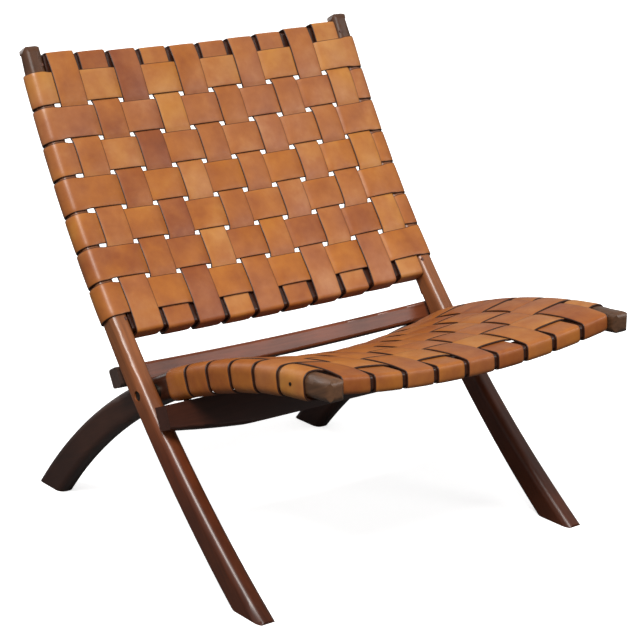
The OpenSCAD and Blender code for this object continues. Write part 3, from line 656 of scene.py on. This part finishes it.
# %% [markdown]
# ## The columns of the back
# Between the rails a column weaves over and under the seven rows. Use has pushed the columns
# a few millimetres to the right between the rails that hold them, more so on the right,
# where only the last one is held by the post beside it.

# %% Paths of the columns
DRIFT, DRIFT_GROWTH, LAST_DRIFT = 0.0060, 0.0030, 0.0030
rails_middle = (TOP_RAIL[0] + LOW_RAIL[0]) / 2
rails_half = (TOP_RAIL[0] - LOW_RAIL[0]) / 2


def drift(i, s):
    """How far column i has been pushed to the right at s: nothing at the rails."""
    most = DRIFT + DRIFT_GROWTH * column_x(i) / INNER_X
    if i == BACK_COLUMNS:
        most = LAST_DRIFT
    return most * math.cos(math.pi / 2 * min(1, abs(s - rails_middle) / rails_half)) ** 2


def column_n(i):
    """How far behind the front edge of the stiles column i runs."""
    return BOW_N * least_bow(column_x(i))


def column_path(i):
    x = column_x(i)
    path = rail_wrap(TOP_RAIL, x, 1)[::-1]
    crossings = []
    for j in range(1, BACK_ROWS + 1):
        s = row_s(j) - dip(x)
        p = stile_point(s, column_n(i) - side_of(i, j) * LIFT)
        p += Vector((x + drift(i, s), 0, 0))
        reach = out(lean_at(s)) * ROW_W / 2
        path += [p + reach, p - reach]
        crossings.append((p, ROW_W / 2, side_of(i, j)))
    path += rail_wrap(LOW_RAIL, x, -1)
    return path, crossings


print("column 5 has", len(column_path(5)[0]), "corners and", len(column_path(5)[1]), "crossings")

# %% [markdown]
# ## The rows of the back
# A row wraps round both stiles. A stile is an arc in front and another arc behind, whose
# centre lies a little aside, so that the post tapers towards its tip. Its depth at a row is
# the distance between the two arcs along the ray there.

# %% Depth of the stiles
tip_lean = lean_at(STILE_LEN)
mid_lean = (FOOT_LEAN + tip_lean) / 2
stile_taper = (STILE_FOOT_DEPTH - STILE_TIP_DEPTH) / 2 / math.sin((FOOT_LEAN - tip_lean) / 2)
rear_radius = STILE_RADIUS + (STILE_FOOT_DEPTH + STILE_TIP_DEPTH) / 2
rear_centre = stile_centre + stile_taper * Vector((0, -math.sin(mid_lean), -math.cos(mid_lean)))


def along_ray(centre, radius, start, direction):
    """The distance from start to a circle about centre, in a direction."""
    e = centre - start
    d = e.dot(direction)
    return d + math.sqrt(radius * radius - e.dot(e) + d * d)


def stile_depth(s):
    return along_ray(rear_centre, rear_radius, stile_centre, ray(lean_at(s))) - STILE_RADIUS


print("the stiles are", [round(stile_depth(s) / MM, 1) for s in (0, STILE_LEN)], "mm deep")

# %% [markdown]
# ## Over and under, and round the posts
# A row starts behind one stile, goes round it, weaves through the ten columns and ends behind
# the other stile. Its edges splay where it bends, because they are pulled less than its
# middle.

# %% Paths of the rows
# A wrap bulges 2.6 mm off the post's outer side, and its end stops 5 mm short of the inner
# corner behind. A row is 7 % wider where it bends.
WRAP_BULGE, STRAP_BACK, SPLAY = 0.0026, 0.005, 0.07
QUARTER_TURN = [math.radians(angle) for angle in (15, 45, 75)]


def post_wrap(x0, x1, depth, bulge):
    """Half a loop round a post, from its back to the middle of its front, as (x, depth)."""
    r = (EDGE_R + LIFT) / math.cos(QUARTER_TURN[0])
    turn = [Vector((math.cos(angle), math.sin(angle))) * r for angle in QUARTER_TURN]
    x = x1 - EDGE_R
    return ([(x0 + STRAP_BACK, depth + LIFT)]
            + [(x + v.x, depth - EDGE_R + v.y) for v in turn[::-1]]
            + [(x1 + LIFT + bulge, depth / 2)]
            + [(x + v.x, EDGE_R - v.y) for v in turn]
            + [(x0 + EDGE_R / 2, -LIFT)])


def row_place(s, x, n):
    return stile_point(s - dip(x), 0) + n * ray(lean_at(s)) + Vector((x, 0, 0))


def row_path(j):
    s = row_s(j)
    wrap = post_wrap(INNER_X, HALF_W, stile_depth(s - ROW_W / 2), WRAP_BULGE)
    steps = [(-x, n) for x, n in wrap]
    crossings = []
    for i in range(1, BACK_COLUMNS + 1):
        x, n = column_x(i) + drift(i, s), column_n(i) + side_of(i, j) * LIFT
        steps += [(x - COLUMN_W / 2, n), (x + COLUMN_W / 2, n)]
        crossings.append((row_place(s, x, n), COLUMN_W / 2, -side_of(i, j)))
    steps += wrap[::-1]
    return [row_place(s, x, n) for x, n in steps], crossings


def row_across(j):
    """The sideways direction of a row, longer than 1 where it splays round a post."""
    up = out(lean_at(row_s(j)))
    return lambda p: up * (1 + SPLAY * min(1, max(0, (abs(p.x) - INNER_X) / EDGE_R)))


print("row 4 has", len(row_path(4)[0]), "corners and", len(row_path(4)[1]), "crossings")

# %% [markdown]
# ## Seventeen straps for the back
# No two hides take the dye alike, so each strap has a depth and a blush of its own, and a
# random number that picks its clouds.

# %% Bend the straps of the back
# Each strap's dye: depth from 0 for light to 1 for dark, and from 0 for golden to 1 for rosy.
COLUMN_TONES = ((0.15, 0.4), (0.25, 0.3), (0.28, 0.7), (0.09, 0.3), (0.20, 0.4),
                (0.20, 0.3), (0.14, 0.7), (0.14, 0.5), (0.17, 0.6), (0.08, 0.2))
ROW_TONES = ((0.06, 0.4), (0.17, 0.7), (0.14, 0.5), (0.19, 0.1), (0.18, 0.2), (0.24, 0.3),
             (0.18, 0.0))
PATTERN_SPREAD = 9
straps = []


for i, (depth, blush) in enumerate(COLUMN_TONES, 1):
    path, crossings = column_path(i)
    tone = (depth, blush, random.random() * PATTERN_SPREAD)
    straps.append(make_strap(f"back_strap_up_{i}", path, sideways, COLUMN_W, tone,
                             "back_frame", f"back_column_{i}", 1, crossings))
for j, (depth, blush) in enumerate(ROW_TONES, 1):
    path, crossings = row_path(j)
    tone = (depth, blush, random.random() * PATTERN_SPREAD)
    straps.append(make_strap(f"back_strap_across_{j}", path, row_across(j), ROW_W, tone,
                             "back_frame", f"back_row_{j}", 1, crossings))
print(len(straps), "back straps,", sum(len(s.data.polygons) for s in straps), "faces")

# %% [markdown]
# ## Where the straps of the seat go
# The seat is a saddle: it sags between its two sides and arches from front to rear. The
# columns run from the front rail to the rear rail, and row 1 is the front one. The hollow is
# an arc of a circle at the front rail. The straps hang deeper towards the rear, so the arc
# is stretched downwards there.

# %% Places on the seat
SEAT_COLUMNS, SEAT_ROWS = 9, 6
FRONT_RAIL_A, REAR_RAIL_A = math.radians(4.1), math.radians(23.8)
FRONT_RAIL_T, REAR_RAIL_T, SEAT_RAIL_H, SEAT_SAG = 0.035, 0.028, 0.021, 0.020
# The hollow is 45 % deeper at the rear rail. The pitch of the rows is counted from 2.7 mm
# behind the front rail. Row 1 is 3 mm wider than the others, towards the rail in front of it.
REAR_DEEPER, ROW_START, FIRST_ROW_EXTRA = 0.45, 0.0027, 0.0030
first_row_a = FRONT_RAIL_A + (FRONT_RAIL_T / 2 + ROW_START) / ARC_RADIUS
sag_radius = SIDE_X0 ** 2 / (2 * SEAT_SAG) + SEAT_SAG / 2


def seat_x(i):
    return (i - (SEAT_COLUMNS + 1) / 2) * 2 * SIDE_X0 / SEAT_COLUMNS


def seat_row_w(j):
    return SEAT_ROW_W + (FIRST_ROW_EXTRA if j == 1 else 0)


def row_a(j):
    forward = (seat_row_w(j) - SEAT_ROW_W) / 2
    return first_row_a + ((j - 0.5) * SEAT_ROW_PITCH - forward) / ARC_RADIUS


def deepen(a):
    """How much deeper than its arc the hollow is: 1 at the front rail, and more behind."""
    return 1 + REAR_DEEPER * min(1, max(0, (a - FRONT_RAIL_A) / (REAR_RAIL_A - FRONT_RAIL_A)))


def hollow_h(x, a):
    """Height of the saddle's hollow: 0 at the side pieces and negative between them."""
    x = min(abs(x), SIDE_X0)
    return (sag_radius - SEAT_SAG - math.sqrt(sag_radius ** 2 - x * x)) * deepen(a)


def hollow_slope(x, a):
    return x / math.sqrt(sag_radius ** 2 - x * x) * deepen(a)


def strap_h(x, a):
    """A flat strap bridges the hollow, so its middle lies a little above it."""
    return hollow_h(x, a) + (COLUMN_W / 2) ** 2 / 2 / sag_radius


print("the seat sags", [round(-hollow_h(0, a) / MM) for a in (FRONT_RAIL_A, REAR_RAIL_A)], "mm")

# %% [markdown]
# ## The columns of the seat
# They go round the front and the rear rail as the back's columns do, and weave over and
# under the six rows. Each leans with the slope of the saddle where it lies.

# %% Paths of the seat's columns
SEAT_WRAP_CUT = WRAP_CUT + 1 * MM
seat_rail_top = -2 * LIFT - LAY


def seat_at(a, along, h):
    """The point at height h that lies a distance behind the place at angle a."""
    return seat_point(a, h) + along * Vector((0, math.cos(a), -math.sin(a)))


def seat_wrap(a, rail_t, way, sag):
    """The path from the top of a rail over its outer side to its underside. way is -1 for
    the front rail and 1 for the rear one."""
    t = rail_t / 2 + STRAP / 2 + 2 * LAY
    h = seat_rail_top + LIFT
    low = seat_rail_top - SEAT_RAIL_H - LIFT - LAY
    c, corner = SEAT_WRAP_CUT, SEAT_WRAP_CUT * CORNER_SHARE
    steps = [(t - c, h), (t - corner, h - corner), (t, h - c), (t, low + c),
             (t - corner, low + corner), (t - c, low), (-(t - END_TRIM), low)]
    return [seat_at(a, way * u, v + sag) for u, v in steps]


def seat_column_path(i):
    x = seat_x(i)
    path = seat_wrap(FRONT_RAIL_A, FRONT_RAIL_T, -1, strap_h(x, FRONT_RAIL_A))[::-1]
    crossings = []
    for j in range(1, SEAT_ROWS + 1):
        a, half = row_a(j), seat_row_w(j) / 2
        h = strap_h(x, a) + side_of(i, j) * LIFT
        path += [seat_at(a, -half, h), seat_at(a, half, h)]
        crossings.append((seat_at(a, 0, h) + Vector((x, 0, 0)), half, side_of(i, j)))
    path += seat_wrap(REAR_RAIL_A, REAR_RAIL_T, 1, strap_h(x, REAR_RAIL_A))
    return [p + Vector((x, 0, 0)) for p in path], crossings


def seat_column_across(i):
    """The sideways direction of seat column i, which leans with the slope of the saddle."""
    x = seat_x(i)

    def across(p):
        spoke = Vector((0, p.y - seat_centre.y, p.z - seat_centre.z)).normalized()
        a = math.atan2(spoke.y, spoke.z)
        return (Vector((1, 0, 0)) + hollow_slope(x, a) * spoke).normalized()

    return across


print("seat column 1 leans", round(math.degrees(math.atan(hollow_slope(seat_x(1), 0))), 1),
      "degrees in front")

# %% [markdown]
# ## The rows of the seat
# They wrap round the side pieces, which taper towards the nose just as the stiles taper
# towards their tips. The leather is slack under them: all wraps but the last hang 2 mm clear
# of the wood.

# %% Paths of the seat's rows
SEAT_SLACK = 0.0020
heel_a = math.acos(-seat_centre.z / ARC_RADIUS)
side_mid_a = (heel_a + NOSE_A) / 2
side_taper = (SIDE_HEEL_DEPTH - SIDE_NOSE_DEPTH) / 2 / math.sin((heel_a - NOSE_A) / 2)
under_centre = seat_centre + side_taper * Vector((0, -math.cos(side_mid_a), math.sin(side_mid_a)))
under_radius = ARC_RADIUS - (SIDE_HEEL_DEPTH + SIDE_NOSE_DEPTH) / 2


def side_depth(a):
    return ARC_RADIUS - along_ray(under_centre, under_radius, seat_centre, out(a))


def seat_row_path(j):
    a = row_a(j)
    depth = side_depth(a + SEAT_ROW_W / 2 / ARC_RADIUS) + (SEAT_ROW_W / 2) ** 2 / 2 / under_radius
    wrap = post_wrap(SIDE_X0, SIDE_X1, depth + (SEAT_SLACK if j < SEAT_ROWS else 0), 0)
    steps = [(-x, n) for x, n in wrap]
    crossings = []
    for i in range(1, SEAT_COLUMNS + 1):
        x = seat_x(i)
        for e in (-COLUMN_W / 2, COLUMN_W / 2):
            drop = -strap_h(x, a) - e * hollow_slope(x, a) + side_of(i, j) * LIFT
            steps.append((x + e, drop))
        p = seat_point(a, strap_h(x, a) - side_of(i, j) * LIFT) + Vector((x, 0, 0))
        crossings.append((p, COLUMN_W / 2, -side_of(i, j)))
    steps += wrap[::-1]
    return [seat_point(a, -d) + Vector((x, 0, 0)) for x, d in steps], crossings


print("the side pieces are", [round(side_depth(a) / MM, 1) for a in (heel_a, NOSE_A)], "mm deep")

# %% [markdown]
# ## Fifteen straps for the seat
# Seat straps are handled and sat on more than those of the back, so they are a little darker.

# %% Bend the straps of the seat
SEAT_COLUMN_TONES = ((0.28, 0.1), (0.20, 0.1), (0.20, 0.2), (0.18, 0.1), (0.24, 0.3),
                     (0.26, 0.2), (0.18, 0.2), (0.20, 0.3), (0.26, 0.3))
SEAT_ROW_TONES = ((0.08, 0.1), (0.18, 0.4), (0.22, 0.1), (0.28, 0.1), (0.26, 0.2), (0.24, 0.1))
for i, (depth, blush) in enumerate(SEAT_COLUMN_TONES, 1):
    path, crossings = seat_column_path(i)
    tone = (depth, blush, random.random() * PATTERN_SPREAD)
    straps.append(make_strap(f"seat_strap_along_{i}", path, seat_column_across(i), COLUMN_W,
                             tone, "seat_frame", f"seat_column_{i}", -1, crossings))
for j, (depth, blush) in enumerate(SEAT_ROW_TONES, 1):
    path, crossings = seat_row_path(j)
    tone = (depth, blush, random.random() * PATTERN_SPREAD)
    along = Vector((0, math.cos(row_a(j)), -math.sin(row_a(j))))
    straps.append(make_strap(f"seat_strap_across_{j}", path, lambda p, w=along: w,
                             seat_row_w(j), tone, "seat_frame", f"seat_row_{j}", 1, crossings))
print(len(straps), "straps,", sum(len(s.data.polygons) for s in straps), "faces")

# %% [markdown]
# ## Wood
# The frame is a hardwood stained dark walnut and sprayed with satin lacquer. Straight-grained
# stock was steam-bent or sawn to the curve, so the grain runs along each piece. A Mapping
# node turns the pattern along the piece's lean before it is stretched. The colour isn't even:
# it is darker towards the feet, and end grain drinks so much stain that it turns grey-brown.

# %% Stain and grain
GRAIN_CLUMP, STAIN_PATCH = 5 * MM, 90 * MM
DRAWN_OUT = 0.06


def colour_along(tree, place, axis, low, high, stops):
    """The wood's colour, through the stops between low and high metres along one axis. On
    X it is the same on both sides of the chair."""
    split = add(tree, "ShaderNodeSeparateXYZ", links={"Vector": place.outputs["Object"]})
    along = add(tree, "ShaderNodeMath", {"operation": "ABSOLUTE"} if axis == "X" else
                {"operation": "ADD"}, {1: 0.0}, {0: split.outputs[axis]})
    along = add(tree, "ShaderNodeMapRange", values={"From Min": low, "From Max": high},
                links={"Value": along.outputs[0]})
    stain = add(tree, "ShaderNodeValToRGB", links={"Fac": along.outputs["Result"]})
    set_ramp(stain, stops)
    return stain


def wood_grain(tree, place, turn, stretch):
    """Growth lines about 2.5 mm apart, turned to the piece and drawn out along it."""
    turned = add(tree, "ShaderNodeMapping", values={"Rotation": turn},
                 links={"Vector": place.outputs["Object"]})
    drawn = add(tree, "ShaderNodeMapping", values={"Scale": stretch},
                links={"Vector": turned.outputs["Vector"]})
    return add(tree, "ShaderNodeTexNoise",
               values={"Scale": 1 / GRAIN_CLUMP, "Detail": 5, "Roughness": 0.6},
               links={"Vector": drawn.outputs["Vector"]})


print("growth lines are about", GRAIN_CLUMP / 2 / MM, "mm apart")

# %% [markdown]
# ## One recipe for all the wood
# All the pieces come from one workshop and one pot of stain, so one function makes all their
# materials. What differs is how the piece leans, along which axis the colour changes and
# through which colours.

# %% Wood material
def make_wood(name, lean, stretch, axis, low, high, stops):
    """Stained and lacquered hardwood: dark, with a satin gloss and a thin clear coat."""
    material, tree, shader = new_material(name)
    place = add(tree, "ShaderNodeTexCoord")
    stain = colour_along(tree, place, axis, low, high, stops)
    grain = wood_grain(tree, place, (math.radians(lean), 0, 0), stretch)
    patches = add(tree, "ShaderNodeTexNoise", values={"Scale": 1 / STAIN_PATCH, "Detail": 2},
                  links={"Vector": place.outputs["Object"]})
    both = add(tree, "ShaderNodeMath", {"operation": "ADD"},
               links={0: grain.outputs["Fac"], 1: patches.outputs["Fac"]})
    # Grain and patches together make the stain up to 40 % darker or lighter.
    streaks = add(tree, "ShaderNodeMapRange",
                  values={"From Min": 0.65, "From Max": 1.35, "To Min": 0.6, "To Max": 1.4},
                  links={"Value": both.outputs[0]})
    tint = add(tree, "ShaderNodeVectorMath", {"operation": "SCALE"},
               links={0: stain.outputs["Color"], "Scale": streaks.outputs["Result"]})
    tree.links.new(tint.outputs["Vector"], shader.inputs["Base Color"])
    bump = add(tree, "ShaderNodeBump", values={"Strength": 0.12, "Distance": 0.2 * MM},
               links={"Height": grain.outputs["Fac"]})
    tree.links.new(bump.outputs["Normal"], shader.inputs["Normal"])
    shader.inputs["Roughness"].default_value = 0.36
    shader.inputs["IOR"].default_value = 1.5
    shader.inputs["Coat Weight"].default_value = 0.25
    shader.inputs["Coat Roughness"].default_value = 0.24
    return material


# %% Wood for the curved pieces
# Both kinds are leaning pieces whose grain runs along Z once the pattern is turned. The
# posts are darker towards the foot, lighter between 0.3 and 0.7 m up, and grey-brown at
# their tips. The arches are grey-brown at the nose, which is end grain, and dark behind it.
UPRIGHT = (1, 1, DRAWN_OUT)
# The posts' colour changes with height only, through the stops listed below.
post_wood = make_wood(
    "walnut_stained_hardwood_posts", 42, UPRIGHT, "Z", 0.0, 1.0,
    [(0.0, "48200C"), (0.18, "5E2B13"), (0.34, "8A522C"), (0.66, "845030"), (0.70, "50321F")])
arc_wood = make_wood(
    "walnut_stained_hardwood_arcs", -65, UPRIGHT, "Y", -0.28, 0.36,
    [(0.0, "5E412D"), (0.06, "543826"), (0.12, "3C2015"), (0.44, "371A0F"), (0.56, "46291D"),
     (1.0, "2A1108")])
print(post_wood.name, "and", arc_wood.name)

# %% Wood for the rails and bars
# These run from side to side, and only their end grain, at both ends, has another colour.
# It begins 2 mm outside the stiles' inner faces, or on the front bar 2 mm outside the chair.
LYING = (DRAWN_OUT, 1, 1)
RAIL_END = (INNER_X + 2 * MM, INNER_X + 10 * MM)
BAR_END = (HALF_W + 2 * MM, HALF_W + 3.5 * MM)
bar_wood = make_wood("walnut_stained_hardwood_bars", 0, LYING, "X", *RAIL_END,
                     [(0.0, "6E3820"), (1.0, "40302A")])
rail_wood = make_wood("walnut_stained_hardwood_rails", 0, LYING, "X", *RAIL_END,
                      [(0.0, "35190D"), (1.0, "40302A")])
# The front stop bar is a darker copy of the bar wood: painted shade, for the shade under the
# seat.
front_bar_wood_painted_shade = make_wood("walnut_hardwood_front_bar_painted_shade", 0, LYING, "X", *BAR_END,
                          [(0.0, "3C1C10"), (1.0, "503E34")])
print(bar_wood.name, rail_wood.name, "and", front_bar_wood_painted_shade.name)

# %% [markdown]
# ## The rear rail of the seat
# The straps hang about a centimetre deeper behind than in front, so the hidden rail that
# carries them there is bowed deeper too. A cube is stretched to a bar, its long edges are
# rounded, it is sliced crosswise, and its slices are let down along the bow.

# %% Rear rail
TENON, RAIL_ROUND, SLICES = 10 * MM, 3 * MM, 36


def make_rear_rail():
    bm = bmesh.new()
    bmesh.ops.create_cube(bm, size=1.0)
    half = SIDE_X0 + TENON
    bmesh.ops.scale(bm, vec=(2 * half, REAR_RAIL_T, SEAT_RAIL_H), verts=bm.verts[:])
    long_edges = [e for e in bm.edges if abs(e.verts[0].co.x - e.verts[1].co.x) > half]
    bmesh.ops.bevel(bm, geom=long_edges, offset=RAIL_ROUND, offset_type="OFFSET", segments=3,
                    profile=0.5, affect="EDGES", material=-1)
    for cut in range(1, SLICES):
        bmesh.ops.bisect_plane(bm, geom=bm.verts[:] + bm.edges[:] + bm.faces[:],
                               plane_co=((2 * cut / SLICES - 1) * half, 0, 0),
                               plane_no=(1, 0, 0))
    for vert in bm.verts:
        x, along, high = vert.co
        level = seat_rail_top - SEAT_RAIL_H / 2 + hollow_h(x, REAR_RAIL_A)
        vert.co = seat_at(REAR_RAIL_A, along, high + level) + Vector((x, 0, 0))
    bmesh.ops.recalc_face_normals(bm, faces=bm.faces[:])
    rail = make_object("rear_rail_bowed", bm, bar_wood)
    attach(rail, "seat_frame")
    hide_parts("rear_seat_rail")
    return rail


rear_rail = make_rear_rail()
print("rear rail", len(rear_rail.data.polygons), "faces")

# %% [markdown]
# ## Steel
# The bolts, nuts, spacers and tacks are mild steel, chemically blackened. They are small and
# mostly hidden, so one plain finish with a little roughness variation serves them all.

# %% Steel material
STEEL_SPOT = 2 * MM


def make_blackened_steel():
    """Blackened steel: a dark metal whose soft gleam breaks up in spots of 2 mm."""
    material, tree, shader = new_material("blackened_mild_steel")
    place = add(tree, "ShaderNodeTexCoord")
    spots = add(tree, "ShaderNodeTexNoise", values={"Scale": 1 / STEEL_SPOT},
                links={"Vector": place.outputs["Object"]})
    rough = add(tree, "ShaderNodeMapRange", values={"To Min": 0.32, "To Max": 0.55},
                links={"Value": spots.outputs["Fac"]})
    tree.links.new(rough.outputs["Result"], shader.inputs["Roughness"])
    shader.inputs["Metallic"].default_value = 1.0
    shader.inputs["Base Color"].default_value = hex_colour("4B4640")
    return material


steel = make_blackened_steel()
print(steel.name)

# %% [markdown]
# ## The finish of the CAD pieces
# The rigid pieces keep the shape that the CAD model gives them, so all that they need here
# is the right material. A table of names is the plainest way to hand them out.

# %% Finishes
finishes = {"left_stile": post_wood, "right_stile": post_wood,
            "left_side_piece": arc_wood, "right_side_piece": arc_wood,
            "top_rail": rail_wood, "lower_back_rail": rail_wood, "front_seat_rail": rail_wood,
            "rear_stop_bar": bar_wood, "front_stop_bar": front_bar_wood_painted_shade,
            "back_pegs": bar_wood, "stop_bar_dowels": bar_wood}
for name in ("back_tacks", "seat_tacks", "left_pivot_bolt", "right_pivot_bolt",
             "left_pivot_nut", "right_pivot_nut", "left_spacer", "right_spacer"):
    finishes[name] = steel
for name, material in finishes.items():
    mesh = nodes[name].data
    mesh.materials.clear()
    mesh.materials.append(material)
print(len(finishes), "CAD pieces have their finish")
